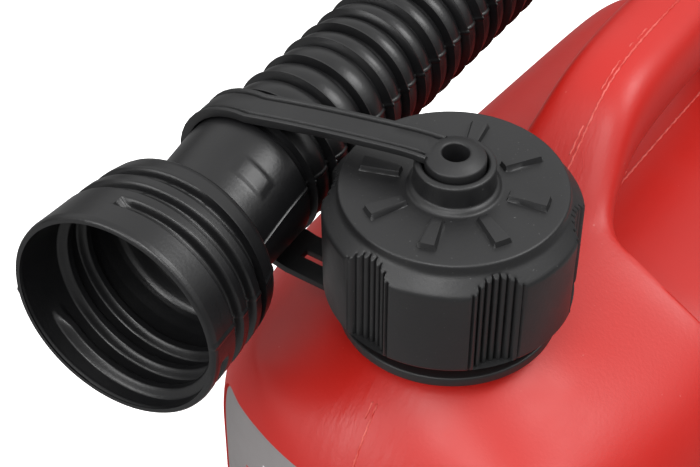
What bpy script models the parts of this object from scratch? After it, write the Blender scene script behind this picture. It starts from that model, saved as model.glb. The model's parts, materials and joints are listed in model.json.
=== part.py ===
"""A five-litre plastic fuel can: hollow tank with a grip, screw cap, seal, strap and stowed pouring spout.

The frame has its origin at the middle of the base, +Z up, +X from the neck towards the grip, in metres.
Most dimensions below are in millimetres. Those of the top are measured from the neck point, which lies on
the neck's axis at the height where the retaining ring rests on the shoulder.
"""

import math

import bmesh
import bpy
from mathutils import Matrix, Vector

MM = 0.001

# The neck point, from the middle of the base.
NECK_X = -88.0
NECK_Z = 190.0

# Tank shell and neck. The ring of the strap rests on the bead at the neck's root.
WALL = 2.4
NECK_R = 22.6
NECK_BORE_R = 20.4
NECK_TOP = 36.0
BEAD_R = 25.0
BEAD_HEIGHT = 2.2
THREAD_PITCH = 6.0
THREAD_WIRE_R = 1.5
THREAD_R = 22.8
THREAD_TURNS = 1.6
THREAD_START = 14.0

# Screw cap.
CAP_BOTTOM = 9.7
CAP_SKIRT_R = 32.7
CAP_EDGE_R = 33.0
CAP_EDGE_Z = 35.4
CAP_DISC_R = 29.0
CAP_DISC_Z = 39.6
CAP_TOP = 42.3
CAP_BORE_R = 25.1
CAP_THREAD_R = 24.9
CAP_THREAD_START = 17.6
CAP_CEILING = 38.9
HUB_R = 10.5
HUB_TOP = 50.0
HUB_RECESS_R = 9.3
HUB_RECESS_Z = 45.0
GRIP_GROUPS = 6
GRIP_FIRST = -128.5
SCALLOP_R = 10.0
SCALLOP_FLOOR_R = 29.3
RIBS_PER_GROUP = 7
RIB_R = 0.75
RIB_SPREAD = 5.2
PADS = 8
PAD_FIRST = 15.5
PAD_IN_R = 14.0
PAD_OUT_R = 24.0
PAD_WIDTHS = (2.8, 4.4)
PAD_RISE = 1.5

# Seal under the cap's ceiling.
SEAL_IN_R = 18.8
SEAL_OUT_R = 24.7

# Shares of the subdivided tank's triangles that its outer and inner faces keep.
TANK_KEPT = 0.16
CAVITY_KEPT = 0.1

# Front label: middle height, half its width and height, and how far its ends lie behind its middle.
LABEL_Z = -92.0
LABEL_HALF_WIDTH = 45.0
LABEL_HALF_HEIGHT = 56.0
LABEL_SWEEP = 12.0
LABEL_LIFT = 1.1
LABEL_THICK = 0.3

# Retaining strap: ring, slotted tail, loop round the spout, and eye on the cap's hub.
RING_IN_R = 23.2
RING_OUT_R = 29.0
RING_HEIGHT = 3.0
STRAP_WIDTH = 9.0
STRAP_THICK = 2.6
STRAP_SPLIT_Y = 34.0
TAIL_WIDTH = 14.5
TAIL_X = -7.3
TAIL_END_Y = 46.0
TAIL_SLOT = (3.0, 9.0)
TAIL_SLOT_Y = 36.5
LOOP_R = 21.0
EYE_R = 8.8
EYE_HOLE_R = 3.5
EYE_TOP = 53.8
EYE_BAND_Z = 51.8

# Spout, stowed beside the cap and parallel to X. Its lengths are measured along X from the neck's axis.
SPOUT_Y = 55.0
SPOUT_Z = 25.4
SPOUT_WALL = 1.6
MOUTH_X = -70.0
MOUTH_R = 30.0
COLLAR_FRONT_R = 28.6
COLLAR_REAR_R = 25.4
COLLAR_RINGS = 4
COLLAR_RING_DEPTH = 1.0
COLLAR_BORE_R = 22.9
COLLAR_THREAD_BORE_R = 25.1
RIM_START_X = -46.5
RIM_END_X = -38.5
SPOUT_NECK_R = 18.8
BELLOWS_START = -1.0
BELLOWS_PITCH = 8.4
BELLOWS_RIDGES = 14
BELLOWS_R = 18.1
GROOVE_R = 16.6
FLEX_RIDGES = (5, 9)
NOZZLE_LENGTH = 58.0
NOZZLE_R = 10.5

GAP = 0.3


def at_neck(x=0.0, y=0.0, z=0.0):
    """A place given in millimetres from the neck point, in the part's frame and in metres."""
    return Vector((NECK_X + x, y, NECK_Z + z)) * MM


def collection(name):
    made = bpy.data.collections.new(name)
    bpy.context.scene.collection.children.link(made)
    return made


def material(name, colour, roughness):
    made = bpy.data.materials.new(name)
    made.use_nodes = True
    shader = made.node_tree.nodes["Principled BSDF"]
    shader.inputs["Base Color"].default_value = (*colour, 1.0)
    shader.inputs["Roughness"].default_value = roughness
    shader.inputs["Metallic"].default_value = 0.0
    return made


def add_object(name, mesh, group, origin):
    obj = bpy.data.objects.new(name, mesh)
    obj.location = origin
    group.objects.link(obj)
    if group is helpers:
        obj.hide_render = True
        obj.display_type = "WIRE"
    return obj


def mesh_from(bm, name):
    """The bmesh, whose lengths are in millimetres, as a mesh in metres with its faces pointing out."""
    bmesh.ops.recalc_face_normals(bm, faces=bm.faces)
    bmesh.ops.scale(bm, verts=bm.verts, vec=(MM, MM, MM))
    mesh = bpy.data.meshes.new(name)
    bm.to_mesh(mesh)
    bm.free()
    return mesh


def turned(name, profile, group, origin, steps=48, closed=True):
    """A profile of (radius, height) points turned about the object's own Z axis.

    The profile runs down its outer side. A closed one is a ring; an open one starts and ends on the axis.
    """
    bm = bmesh.new()
    points = [bm.verts.new((radius, 0.0, height)) for radius, height in profile]
    for start, end in zip(points, points[1:]):
        bm.edges.new((start, end))
    if closed:
        bm.edges.new((points[-1], points[0]))
    bmesh.ops.scale(bm, verts=bm.verts, vec=(MM, MM, MM))
    mesh = bpy.data.meshes.new(name)
    bm.to_mesh(mesh)
    bm.free()
    obj = add_object(name, mesh, group, origin)
    screw = obj.modifiers.new("Turn", "SCREW")
    screw.axis = "Z"
    screw.steps = steps
    screw.render_steps = steps
    screw.use_merge_vertices = True
    screw.merge_threshold = 0.00001
    return obj


def realised(obj, name, group):
    """The object as its modifiers or its bevel leave it, made a mesh object with its caps welded."""
    graph = bpy.context.evaluated_depsgraph_get()
    mesh = bpy.data.meshes.new_from_object(obj.evaluated_get(graph))
    bm = bmesh.new()
    bm.from_mesh(mesh)
    bmesh.ops.remove_doubles(bm, verts=bm.verts, dist=0.00001)
    bmesh.ops.recalc_face_normals(bm, faces=bm.faces)
    bm.to_mesh(mesh)
    bm.free()
    made = add_object(name, mesh, group, (0.0, 0.0, 0.0))
    made.matrix_world = obj.matrix_world
    bpy.data.objects.remove(obj)
    return made


def boolean(obj, operation, other):
    cut = obj.modifiers.new(operation.title(), "BOOLEAN")
    cut.operation = operation
    cut.object = other
    cut.solver = "EXACT"
    return cut


def mirrored(obj):
    mirror = obj.modifiers.new("Mirror", "MIRROR")
    mirror.use_axis = (False, True, False)
    mirror.use_clip = True
    mirror.merge_threshold = 0.00001


def subdivided(obj, levels):
    rounding = obj.modifiers.new("Rounding", "SUBSURF")
    rounding.levels = levels
    rounding.render_levels = levels


def helix(name, radius, start_z, group):
    """A thread ridge: a round wire wound about the neck's axis, thinner at both ends."""
    curve = bpy.data.curves.new(name, "CURVE")
    curve.dimensions = "3D"
    curve.bevel_depth = THREAD_WIRE_R * MM
    curve.bevel_resolution = 1
    curve.use_fill_caps = True
    count = round(THREAD_TURNS * 24)
    spline = curve.splines.new("POLY")
    spline.points.add(count)
    for index, point in enumerate(spline.points):
        turns = THREAD_TURNS * index / count
        angle = 2 * math.pi * turns
        height = start_z + THREAD_PITCH * turns
        point.co = (radius * math.cos(angle) * MM, radius * math.sin(angle) * MM, height * MM, 1.0)
        ends = min(index, count - index) / 3
        point.radius = min(1.0, 0.35 + 0.65 * ends)
    wire = bpy.data.objects.new(name + "_wire", curve)
    wire.location = at_neck()
    group.objects.link(wire)
    bpy.context.view_layer.update()
    return realised(wire, name, group)


# The tank's cage is a lattice: stations along X, layers out from the middle plane, levels up from the base.
# A station is: x, outer half width, how far its outer end lies behind its middle, height of the top, fall of
# the top towards the outer end, height of the grip's underside, and height of the deck beside the grip.
STATIONS = (
    (-52.3, 51.2, 17.0, -31.0, -12.5, -44.0, -57.0),
    (-36.0, 61.3, 16.0, -16.0, 5.0, -36.0, -55.0),
    (-20.0, 67.5, 16.0, -3.5, 19.5, -30.0, -52.0),
    (0.0, 70.8, 14.0, -1.0, 22.0, -28.0, -50.0),
    (20.0, 72.8, 8.0, -1.5, 21.5, -27.0, -49.0),
    (40.0, 73.0, 2.0, -1.5, 21.5, -26.0, -44.0),
    (54.0, 72.8, 0.0, -0.5, 21.5, -18.0, -33.0),
    (65.0, 72.6, 0.0, 11.5, 0.0, -11.0, -29.0),
    (77.0, 72.2, 0.0, 23.5, 0.0, -4.0, -28.5),
    (95.0, 71.0, 0.0, 27.3, 0.0, 0.0, -28.5),
    (125.0, 69.4, 0.0, 26.0, 0.0, -0.5, -29.0),
    (155.0, 67.8, 0.0, 24.8, 0.0, -3.0, -30.0),
    (180.0, 66.5, 0.0, 21.5, 0.0, -9.0, -31.0),
    (202.0, 65.3, -2.0, 11.0, 0.0, -18.0, -33.0),
    (217.0, 63.0, -6.0, -7.0, 0.0, -29.0, -38.0),
    (229.0, 52.0, -12.0, -30.0, 0.0, -41.0, -52.0),
)
NECK_STATIONS = (2, 3, 4)
BLOCK_END = 6
PILLAR_START = 12
LAST_STATION = len(STATIONS) - 1
DECK_LEVEL = 4
TOP_LEVEL = 6
# Heights of the levels under the deck, and the third one's height in front of the deck.
LOW_LEVELS = (-NECK_Z, -NECK_Z + 10.0, -118.0, -64.0)
LOW_LEVEL_FRONT = -76.0
LAYER_SHARES = (0.0, 0.08, 0.5, 1.0)
SHOULDER_FALLS = (0.0, 0.08, 0.6, 1.0)
DECK_FALLS = (0.0, 0.0, 3.5, 12.0)
EDGE_INSET = 9.5
BASE_INSET = 6.0
NECK_PAD_R = 25.0
GRIP_HALF_WIDTH = 14.8


def layer_y(station, layer, level):
    """How far the cage's vertex lies from the middle plane."""
    outer = STATIONS[station][1]
    if layer == 0:
        return 0.0
    if layer == 3:
        edge = TOP_LEVEL if station <= BLOCK_END else DECK_LEVEL
        insets = {edge: EDGE_INSET, 0: BASE_INSET}
        if station == BLOCK_END:
            insets.update({TOP_LEVEL - 1: 4.0, DECK_LEVEL: 2.0})
        return outer - insets.get(level, 0.0)
    if layer == 2:
        return outer * (0.71 if station == 0 else 0.64)
    if level >= TOP_LEVEL - 1 and station >= BLOCK_END:
        return {BLOCK_END: 21.0, BLOCK_END + 1: 16.5}.get(station, GRIP_HALF_WIDTH)
    if level == TOP_LEVEL and station in NECK_STATIONS:
        return NECK_PAD_R if station == NECK_STATIONS[1] else NECK_PAD_R * math.sqrt(0.5)
    return 18.0


def layer_x(station, layer, level):
    """The vertex's place along X: the ends are rounded in plan and lean in at the top and the base."""
    x, sweep = STATIONS[station][0], STATIONS[station][2]
    x += sweep * LAYER_SHARES[layer]
    if station == 0:
        x += {TOP_LEVEL: 7.3, TOP_LEVEL - 1: 2.3 * (layer < 3), 0: BASE_INSET}.get(level, 0.0)
    elif station == LAST_STATION:
        x -= {TOP_LEVEL: 7.0, TOP_LEVEL - 1: 2.0, 0: BASE_INSET}.get(level, 0.0)
    elif station == BLOCK_END and layer > 0:
        x += {TOP_LEVEL: -7.0, TOP_LEVEL - 1: -3.0}.get(level, 2.0) * (0.4 if layer == 1 else 1.0)
    if level == TOP_LEVEL and station in NECK_STATIONS and layer < 2:
        side = station - NECK_STATIONS[1]
        x = side * NECK_PAD_R * (1.0 if layer == 0 else math.sqrt(0.5))
    return x


def level_z(station, layer, level):
    """The vertex's height. The shoulder falls away from the neck towards both sides."""
    top, fall, under, deck = STATIONS[station][3:]
    if level < DECK_LEVEL:
        return LOW_LEVEL_FRONT if level == 3 and station < BLOCK_END else LOW_LEVELS[level]
    shoulder = top - fall * SHOULDER_FALLS[layer]
    if station < BLOCK_END:
        if layer == 3:
            return (-56.0, shoulder - 18.0, shoulder)[level - DECK_LEVEL]
        return (deck, under, shoulder)[level - DECK_LEVEL]
    if station == BLOCK_END:
        if layer == 3:
            return (shoulder - 22.0, shoulder - 11.0, shoulder)[level - DECK_LEVEL]
        return (deck - DECK_FALLS[layer], under, shoulder)[level - DECK_LEVEL]
    if level == DECK_LEVEL:
        return deck - DECK_FALLS[layer]
    edge = 1.5 if level == TOP_LEVEL and layer == 1 else 0.0
    return (under, top)[level - DECK_LEVEL - 1] - edge


def filled(station, layer, level):
    """Whether the lattice's cell, from these indices to the next ones, is part of the tank."""
    if min(station, layer, level) < 0 or station >= LAST_STATION or layer > 2 or level >= TOP_LEVEL:
        return False
    if level < DECK_LEVEL or station < BLOCK_END:
        return True
    if layer > 0:
        return False
    return level == TOP_LEVEL - 1 or station >= PILLAR_START


def tank_cage(name):
    """Half of the tank's cage, open at the middle plane: the outer faces of the lattice's filled cells."""
    bm = bmesh.new()
    found = {}

    def corner(*index):
        if index not in found:
            found[index] = bm.verts.new((layer_x(*index), layer_y(*index), level_z(*index)))
        return found[index]

    for station in range(LAST_STATION):
        for layer in range(3):
            for level in range(TOP_LEVEL):
                cell = (station, layer, level)
                if not filled(*cell):
                    continue
                for axis in range(3):
                    for side in (0, 1):
                        beyond = list(cell)
                        beyond[axis] += 2 * side - 1
                        if filled(*beyond) or (axis == 1 and beyond[1] < 0):
                            continue
                        add_cell_face(bm, corner, cell, axis, side)
    creases = bm.edges.layers.float.new("crease_edge")
    for edge in bm.edges:
        if all(vert in crest_vertices(found) for vert in edge.verts):
            edge[creases] = 0.55
    return mesh_from(bm, name)


def add_cell_face(bm, corner, cell, axis, side):
    second, third = [other for other in range(3) if other != axis]
    corners = []
    for step_two, step_three in ((0, 0), (1, 0), (1, 1), (0, 1)):
        index = list(cell)
        index[axis] += side
        index[second] += step_two
        index[third] += step_three
        corners.append(corner(*index))
    bm.faces.new(corners)


def crest_vertices(found):
    """The edge between the neck's shoulder and the lower deck behind it."""
    crest = [(BLOCK_END, layer, TOP_LEVEL) for layer in (1, 2, 3)]
    return {found[index] for index in crest if index in found}


def tank_form(name, group):
    obj = add_object(name, tank_cage(name), group, at_neck())
    mirrored(obj)
    subdivided(obj, 2)
    return obj


def lightened(obj, ratio):
    lighter = obj.modifiers.new("Lighter", "DECIMATE")
    lighter.decimate_type = "COLLAPSE"
    lighter.ratio = ratio
    lighter.use_symmetry = True
    lighter.symmetry_axis = "Y"


def make_tank():
    neck_profile = (
        (NECK_R, NECK_TOP - 0.6),
        (NECK_R, -GAP),
        (BEAD_R, -GAP),
        (BEAD_R, -BEAD_HEIGHT),
        (NECK_R, -BEAD_HEIGHT),
        (NECK_R, -10.0),
        (NECK_BORE_R - 1.0, -10.0),
        (NECK_BORE_R - 1.0, NECK_TOP),
        (NECK_R - 0.6, NECK_TOP),
    )
    neck = turned("tank_neck", neck_profile, helpers, at_neck())
    thread = helix("tank_thread", THREAD_R, THREAD_START, helpers)
    cavity = tank_form("tank_cavity", helpers)
    inset = cavity.modifiers.new("Inset", "DISPLACE")
    inset.strength = -WALL * MM
    inset.mid_level = 0.0
    lightened(cavity, CAVITY_KEPT)
    bore_top, bore_low = NECK_TOP + 3.0, -12.0
    bore_profile = ((0.0, bore_top), (NECK_BORE_R, bore_top), (NECK_BORE_R, bore_low), (0.0, bore_low))
    bore = turned("tank_bore", bore_profile, helpers, at_neck(), closed=False)
    tank = tank_form("tank", can)
    lightened(tank, TANK_KEPT)
    boolean(tank, "UNION", neck)
    boolean(tank, "UNION", thread)
    boolean(tank, "DIFFERENCE", cavity)
    boolean(tank, "DIFFERENCE", bore)
    tank.data.shade_smooth()
    tank.data.materials.append(material("tank_red", (0.60, 0.035, 0.025), 0.42))


def make_label(backing):
    """A sticker on the narrow front face, wrapped round its corners."""
    bm = bmesh.new()
    bmesh.ops.create_grid(bm, x_segments=20, y_segments=6, size=1.0)
    for vert in bm.verts:
        across, up = vert.co.x, vert.co.y
        front = STATIONS[0][0] - 3.0
        height = LABEL_Z + LABEL_HALF_HEIGHT * up
        vert.co = Vector((front + LABEL_SWEEP * across**2, LABEL_HALF_WIDTH * across, height))
    label = add_object("front_label", mesh_from(bm, "front_label"), can, at_neck())
    wrap = label.modifiers.new("Wrap", "SHRINKWRAP")
    wrap.target = backing
    wrap.wrap_method = "NEAREST_SURFACEPOINT"
    wrap.wrap_mode = "OUTSIDE_SURFACE"
    wrap.offset = LABEL_LIFT * MM
    sheet = label.modifiers.new("Sheet", "SOLIDIFY")
    sheet.thickness = LABEL_THICK * MM
    sheet.offset = 0.0
    label.data.materials.append(material("label_grey", (0.20, 0.20, 0.20), 0.5))


def joined(name, shapes, group):
    """One object from several bmesh shapes that don't touch."""
    bm = bmesh.new()
    for add_shape in shapes:
        add_shape(bm)
    return add_object(name, mesh_from(bm, name), group, at_neck())


def scallop(angle):
    """An upright cylinder beside the cap. Its cut leaves a hollow whose top arches through the chamfer."""

    def add_shape(bm):
        low = CAP_BOTTOM - 3.0
        high = CAP_TOP + 3.0
        centre = SCALLOP_FLOOR_R + SCALLOP_R
        place = Matrix.Rotation(angle, 4, "Z") @ Matrix.Translation((centre, 0.0, (low + high) / 2))
        bmesh.ops.create_cone(
            bm,
            cap_ends=True,
            segments=32,
            radius1=SCALLOP_R,
            radius2=SCALLOP_R,
            depth=high - low,
            matrix=place,
        )

    return add_shape


def rib(angle, sideways):
    """One upright ridge on a hollow's wall, cut short under the chamfer."""

    def add_shape(bm):
        across = math.asin(sideways / SCALLOP_R)
        radius = SCALLOP_FLOOR_R + SCALLOP_R * (1.0 - math.cos(across))
        low = CAP_BOTTOM + 0.4
        high = CAP_EDGE_Z + (CAP_EDGE_R - math.hypot(radius, sideways)) - 1.2
        place = Matrix.Rotation(angle, 4, "Z") @ Matrix.Translation((radius, sideways, (low + high) / 2))
        bmesh.ops.create_cone(
            bm, cap_ends=True, segments=6, radius1=RIB_R, radius2=RIB_R, depth=high - low, matrix=place
        )

    return add_shape


def pad(angle):
    """One raised pad on the cap's top, wider towards the rim."""

    def add_shape(bm):
        found = bmesh.ops.create_cube(bm, size=1.0)["verts"]
        middle = (PAD_IN_R + PAD_OUT_R) / 2
        length = PAD_OUT_R - PAD_IN_R
        for vert in found:
            width = PAD_WIDTHS[vert.co.x > 0]
            height = CAP_TOP + PAD_RISE * 2 * vert.co.z
            vert.co = Vector((middle + length * vert.co.x, width * vert.co.y, height))
        bmesh.ops.rotate(bm, verts=found, matrix=Matrix.Rotation(angle, 3, "Z"))

    return add_shape


def make_cap():
    profile = (
        (0.0, HUB_RECESS_Z),
        (HUB_RECESS_R, HUB_RECESS_Z),
        (HUB_RECESS_R, HUB_TOP),
        (HUB_R - 0.2, HUB_TOP - 0.3),
        (HUB_R, CAP_TOP + 1.2),
        (HUB_R + 1.3, CAP_TOP),
        (CAP_DISC_R - 1.4, CAP_TOP),
        (CAP_DISC_R - 0.2, CAP_TOP - 1.2),
        (CAP_DISC_R, CAP_DISC_Z),
        (CAP_EDGE_R, CAP_EDGE_Z),
        (CAP_SKIRT_R, CAP_BOTTOM),
        (CAP_BORE_R, CAP_BOTTOM),
        (CAP_BORE_R, CAP_CEILING),
        (0.0, CAP_CEILING),
    )
    cap = turned("screw_cap", profile, can, at_neck(), steps=48, closed=False)
    groups = [math.radians(GRIP_FIRST + 360 / GRIP_GROUPS * index) for index in range(GRIP_GROUPS)]
    half_way = (RIBS_PER_GROUP - 1) / 2
    sideways = [(index - half_way) / half_way * RIB_SPREAD for index in range(RIBS_PER_GROUP)]
    for index, angle in enumerate(groups):
        cutter = joined(f"cap_scallop_{index + 1}", [scallop(angle)], helpers)
        boolean(cap, "DIFFERENCE", cutter)
    ribs = [rib(angle, offset) for angle in groups for offset in sideways]
    boolean(cap, "UNION", joined("cap_ribs", ribs, helpers))
    pads = [pad(math.radians(PAD_FIRST + 360 / PADS * index)) for index in range(PADS)]
    boolean(cap, "UNION", joined("cap_pads", pads, helpers))
    boolean(cap, "UNION", helix("cap_thread", CAP_THREAD_R, CAP_THREAD_START, helpers))
    cap.data.materials.append(material("cap_black", (0.030, 0.030, 0.032), 0.5))


def make_seal():
    low = NECK_TOP + GAP
    high = CAP_CEILING - GAP
    profile = ((SEAL_OUT_R, high), (SEAL_OUT_R, low), (SEAL_IN_R, low), (SEAL_IN_R, high))
    seal = turned("cap_seal", profile, can, at_neck(), steps=40)
    seal.data.materials.append(material("seal_rubber", (0.05, 0.05, 0.055), 0.7))


def upper_run_z(y):
    """Height of the strap's straight upper run, from the top of the loop to the hub."""
    top = SPOUT_Z + LOOP_R
    return EYE_BAND_Z + (top - EYE_BAND_Z) * max(0.0, y - EYE_R) / (SPOUT_Y - EYE_R)


def loop_path():
    """The strap's middle line: from the ring under the spout, round its far side, over it to the split."""
    path = [(RING_OUT_R - 3.0, RING_HEIGHT / 2), (TAIL_END_Y, RING_HEIGHT / 2)]
    for degrees in range(-75, 91, 15):
        angle = math.radians(degrees)
        path.append((SPOUT_Y + LOOP_R * math.cos(angle), SPOUT_Z + LOOP_R * math.sin(angle)))
    path.append((STRAP_SPLIT_Y + GAP, upper_run_z(STRAP_SPLIT_Y + GAP)))
    return path


def strap_x(y, z):
    """The strap leans: its upper run ends over the hub, and its tail leaves the ring off centre."""
    if z < SPOUT_Z:
        return TAIL_X
    return TAIL_X * min(1.0, max(0.0, y / SPOUT_Y)) ** 1.5


def ribbon(name, path, widths):
    """A flat band of even thickness along a path of (y, z) points."""
    bm = bmesh.new()
    rows = []
    for (y, z), width in zip(path, widths):
        x = strap_x(y, z)
        rows.append([bm.verts.new((x + side * width / 2, y, z)) for side in (-1, 1)])
    for first, second in zip(rows, rows[1:]):
        bm.faces.new((first[0], first[1], second[1], second[0]))
    obj = add_object(name, mesh_from(bm, name), helpers, at_neck())
    sheet = obj.modifiers.new("Sheet", "SOLIDIFY")
    sheet.thickness = STRAP_THICK * MM
    sheet.offset = 0.0
    return obj


def tail_slot(bm):
    width, length = TAIL_SLOT
    size = Matrix.Diagonal((width, length, 12.0, 1.0))
    bmesh.ops.create_cube(bm, size=1.0, matrix=Matrix.Translation((TAIL_X, TAIL_SLOT_Y, 0.0)) @ size)


def make_strap(black):
    ring_profile = (
        (RING_OUT_R, RING_HEIGHT),
        (RING_OUT_R, 0.0),
        (RING_IN_R, 0.0),
        (RING_IN_R, RING_HEIGHT),
    )
    strap = turned("retaining_strap", ring_profile, can, at_neck(), steps=40)
    path = loop_path()
    widths = [TAIL_WIDTH if z < RING_HEIGHT else STRAP_WIDTH for _, z in path]
    boolean(strap, "UNION", ribbon("strap_loop", path, widths))
    boolean(strap, "DIFFERENCE", joined("strap_slot", [tail_slot], helpers))
    strap.data.materials.append(black)


def make_eye(black):
    profile = (
        (EYE_HOLE_R, EYE_TOP - 0.3),
        (EYE_HOLE_R + 0.8, EYE_TOP),
        (EYE_R - 2.4, EYE_TOP - 0.5),
        (EYE_R - 0.6, EYE_TOP - 1.6),
        (EYE_R, EYE_TOP - 3.4),
        (EYE_R, HUB_RECESS_Z + GAP),
        (EYE_HOLE_R, HUB_RECESS_Z + GAP),
    )
    eye = turned("strap_eye", profile, can, at_neck(), steps=28)
    ends = (EYE_HOLE_R + 2.0, EYE_R, STRAP_SPLIT_Y - GAP)
    path = [(y, upper_run_z(y)) for y in ends]
    boolean(eye, "UNION", ribbon("eye_band", path, [STRAP_WIDTH] * len(path)))
    eye.data.materials.append(black)


def ridges(first, last):
    """Outer points of the bellows from one ridge to another: (radius, x) pairs."""
    points = []
    for index in range(first, last):
        middle = groove_x(index) + BELLOWS_PITCH / 2
        points += [(GROOVE_R, middle - 2.7), (BELLOWS_R, middle + 0.8), (BELLOWS_R, middle + 2.2)]
        points.append((GROOVE_R, middle + 2.8))
    return points


def groove_x(index):
    return BELLOWS_START + BELLOWS_PITCH * index


def turned_along_x(name, outer, inner, hinge):
    """A closed profile of (radius, x) points turned about the spout's axis, with its origin at the hinge."""
    profile = [(radius, hinge - along) for radius, along in outer + inner]
    obj = turned(name, profile, can, at_neck(hinge, SPOUT_Y, SPOUT_Z), steps=28)
    obj.rotation_euler = (0.0, -math.pi / 2, 0.0)
    return obj


def collar_outline():
    """Outer points of the collar and its neck, from the mouth: a lip, soft rings, and a plain rim."""
    points = [(MOUTH_R - 1.0, MOUTH_X), (MOUTH_R, MOUTH_X + 1.2), (COLLAR_FRONT_R + 0.4, MOUTH_X + 6.0)]
    pitch = (RIM_START_X - MOUTH_X - 7.0) / COLLAR_RINGS
    for index in range(COLLAR_RINGS):
        start = MOUTH_X + 7.0 + pitch * index
        radius = COLLAR_FRONT_R + (COLLAR_REAR_R - COLLAR_FRONT_R) * (index + 0.5) / COLLAR_RINGS
        points += [(radius - COLLAR_RING_DEPTH, start + 0.5), (radius, start + 1.9), (radius, start + 3.3)]
    points += [
        (COLLAR_REAR_R, RIM_START_X + 1.0),
        (COLLAR_REAR_R, RIM_END_X - 1.5),
        (COLLAR_REAR_R - 1.2, RIM_END_X),
        (SPOUT_NECK_R + 1.4, RIM_END_X + 2.0),
        (SPOUT_NECK_R, RIM_END_X + 3.5),
        (SPOUT_NECK_R, BELLOWS_START - 3.0),
        (SPOUT_NECK_R + 0.4, BELLOWS_START - 2.2),
        (SPOUT_NECK_R + 0.4, BELLOWS_START - 1.2),
        (GROOVE_R, BELLOWS_START),
    ]
    return points


def make_spout(black):
    """The spout in three lengths that hinge at two grooves of the bellows."""
    first_hinge, second_hinge = (groove_x(index) for index in FLEX_RIDGES)
    bore = GROOVE_R - SPOUT_WALL
    front = collar_outline() + ridges(0, FLEX_RIDGES[0])
    front_inner = [
        (bore, front[-1][1]),
        (bore, BELLOWS_START),
        (SPOUT_NECK_R - SPOUT_WALL, BELLOWS_START - 4.0),
        (SPOUT_NECK_R - SPOUT_WALL, RIM_END_X + 1.0),
        (COLLAR_BORE_R, RIM_END_X - 2.0),
        (COLLAR_BORE_R, RIM_START_X),
        (COLLAR_THREAD_BORE_R, RIM_START_X - 3.0),
        (COLLAR_THREAD_BORE_R, MOUTH_X + 8.0),
        (MOUTH_R - 2.2, MOUTH_X),
    ]
    collar = turned_along_x("spout_collar", front, front_inner, first_hinge)
    middle = ridges(*FLEX_RIDGES)
    middle_inner = [(bore, middle[-1][1]), (bore, middle[0][1])]
    bellows = turned_along_x("spout_bellows", middle, middle_inner, first_hinge)
    end = groove_x(BELLOWS_RIDGES)
    tip = end + NOZZLE_LENGTH
    rear = ridges(FLEX_RIDGES[1], BELLOWS_RIDGES)
    rear += [(15.4, end + 2.0), (14.6, end + 12.0), (NOZZLE_R, tip - 1.0), (NOZZLE_R - 0.5, tip)]
    rear_inner = [(NOZZLE_R - SPOUT_WALL, tip), (13.0, end + 12.0), (13.4, end)]
    rear_inner += [(bore, end - 6.0), (bore, rear[0][1])]
    nozzle = turned_along_x("spout_nozzle", rear, rear_inner, second_hinge)
    for piece in (collar, bellows, nozzle):
        piece.data.materials.append(black)


for old in list(bpy.data.objects):
    bpy.data.objects.remove(old)
can = collection("jerry_can")
helpers = collection("cutters")
strap_black = material("strap_black", (0.022, 0.022, 0.023), 0.5)
spout_black = material("spout_black", (0.018, 0.018, 0.019), 0.42)
label_backing = tank_form("label_backing", helpers)
lightened(label_backing, TANK_KEPT)
make_tank()
make_label(label_backing)
make_cap()
make_seal()
make_strap(strap_black)
make_eye(strap_black)
make_spout(spout_black)
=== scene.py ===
"""The looks of the fuel can: a moulded red tank, ribbed screw cap, retaining strap and stowed spout.

Lengths are in millimetres from the neck point, which is where the neck's axis meets the shoulder: it is the
strap_swivel joint's place in the frame. +X runs from the neck towards the grip, +Y towards the spout, +Z up.
"""
import json
import math

import bmesh
import bpy
import numpy as np
from mathutils import Matrix, Vector


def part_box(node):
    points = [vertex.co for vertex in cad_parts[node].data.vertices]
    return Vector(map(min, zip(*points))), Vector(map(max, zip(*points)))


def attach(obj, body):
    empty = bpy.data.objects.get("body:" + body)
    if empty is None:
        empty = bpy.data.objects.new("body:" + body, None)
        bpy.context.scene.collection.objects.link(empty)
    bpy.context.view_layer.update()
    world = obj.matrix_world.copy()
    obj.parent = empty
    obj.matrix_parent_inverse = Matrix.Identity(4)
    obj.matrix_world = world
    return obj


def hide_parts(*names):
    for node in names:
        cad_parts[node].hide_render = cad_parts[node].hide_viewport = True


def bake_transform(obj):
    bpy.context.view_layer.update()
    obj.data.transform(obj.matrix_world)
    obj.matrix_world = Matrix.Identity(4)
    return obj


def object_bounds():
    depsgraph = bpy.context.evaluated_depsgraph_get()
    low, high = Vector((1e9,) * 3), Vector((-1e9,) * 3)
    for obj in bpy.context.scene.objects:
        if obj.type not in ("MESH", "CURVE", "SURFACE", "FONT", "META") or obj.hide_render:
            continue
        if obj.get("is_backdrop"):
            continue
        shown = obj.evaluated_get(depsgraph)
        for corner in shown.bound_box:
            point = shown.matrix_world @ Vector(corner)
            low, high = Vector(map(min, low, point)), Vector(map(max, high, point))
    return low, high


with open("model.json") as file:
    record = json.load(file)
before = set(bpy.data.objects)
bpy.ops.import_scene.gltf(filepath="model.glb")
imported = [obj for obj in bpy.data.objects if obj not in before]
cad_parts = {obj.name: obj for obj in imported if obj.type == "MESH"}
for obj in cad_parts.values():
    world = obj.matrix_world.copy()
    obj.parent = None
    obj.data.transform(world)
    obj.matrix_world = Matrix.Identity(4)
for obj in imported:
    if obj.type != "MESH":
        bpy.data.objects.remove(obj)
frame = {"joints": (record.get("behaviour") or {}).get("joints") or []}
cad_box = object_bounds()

MM = 0.001
JOINTS = {joint["name"]: joint for joint in frame["joints"]}
NECK = Vector(JOINTS["strap_swivel"]["pos_m"])
BASE_Z = -NECK.z / MM
SPOUT_Y = (JOINTS["spout_bend"]["pos_m"][1] - NECK.y) / MM
SPOUT_Z = (JOINTS["spout_bend"]["pos_m"][2] - NECK.z) / MM
HINGE_X = (JOINTS["spout_bend"]["pos_m"][0] - NECK.x) / MM
REAR_HINGE_X = (JOINTS["spout_bend_rear"]["pos_m"][0] - NECK.x) / MM


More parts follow.
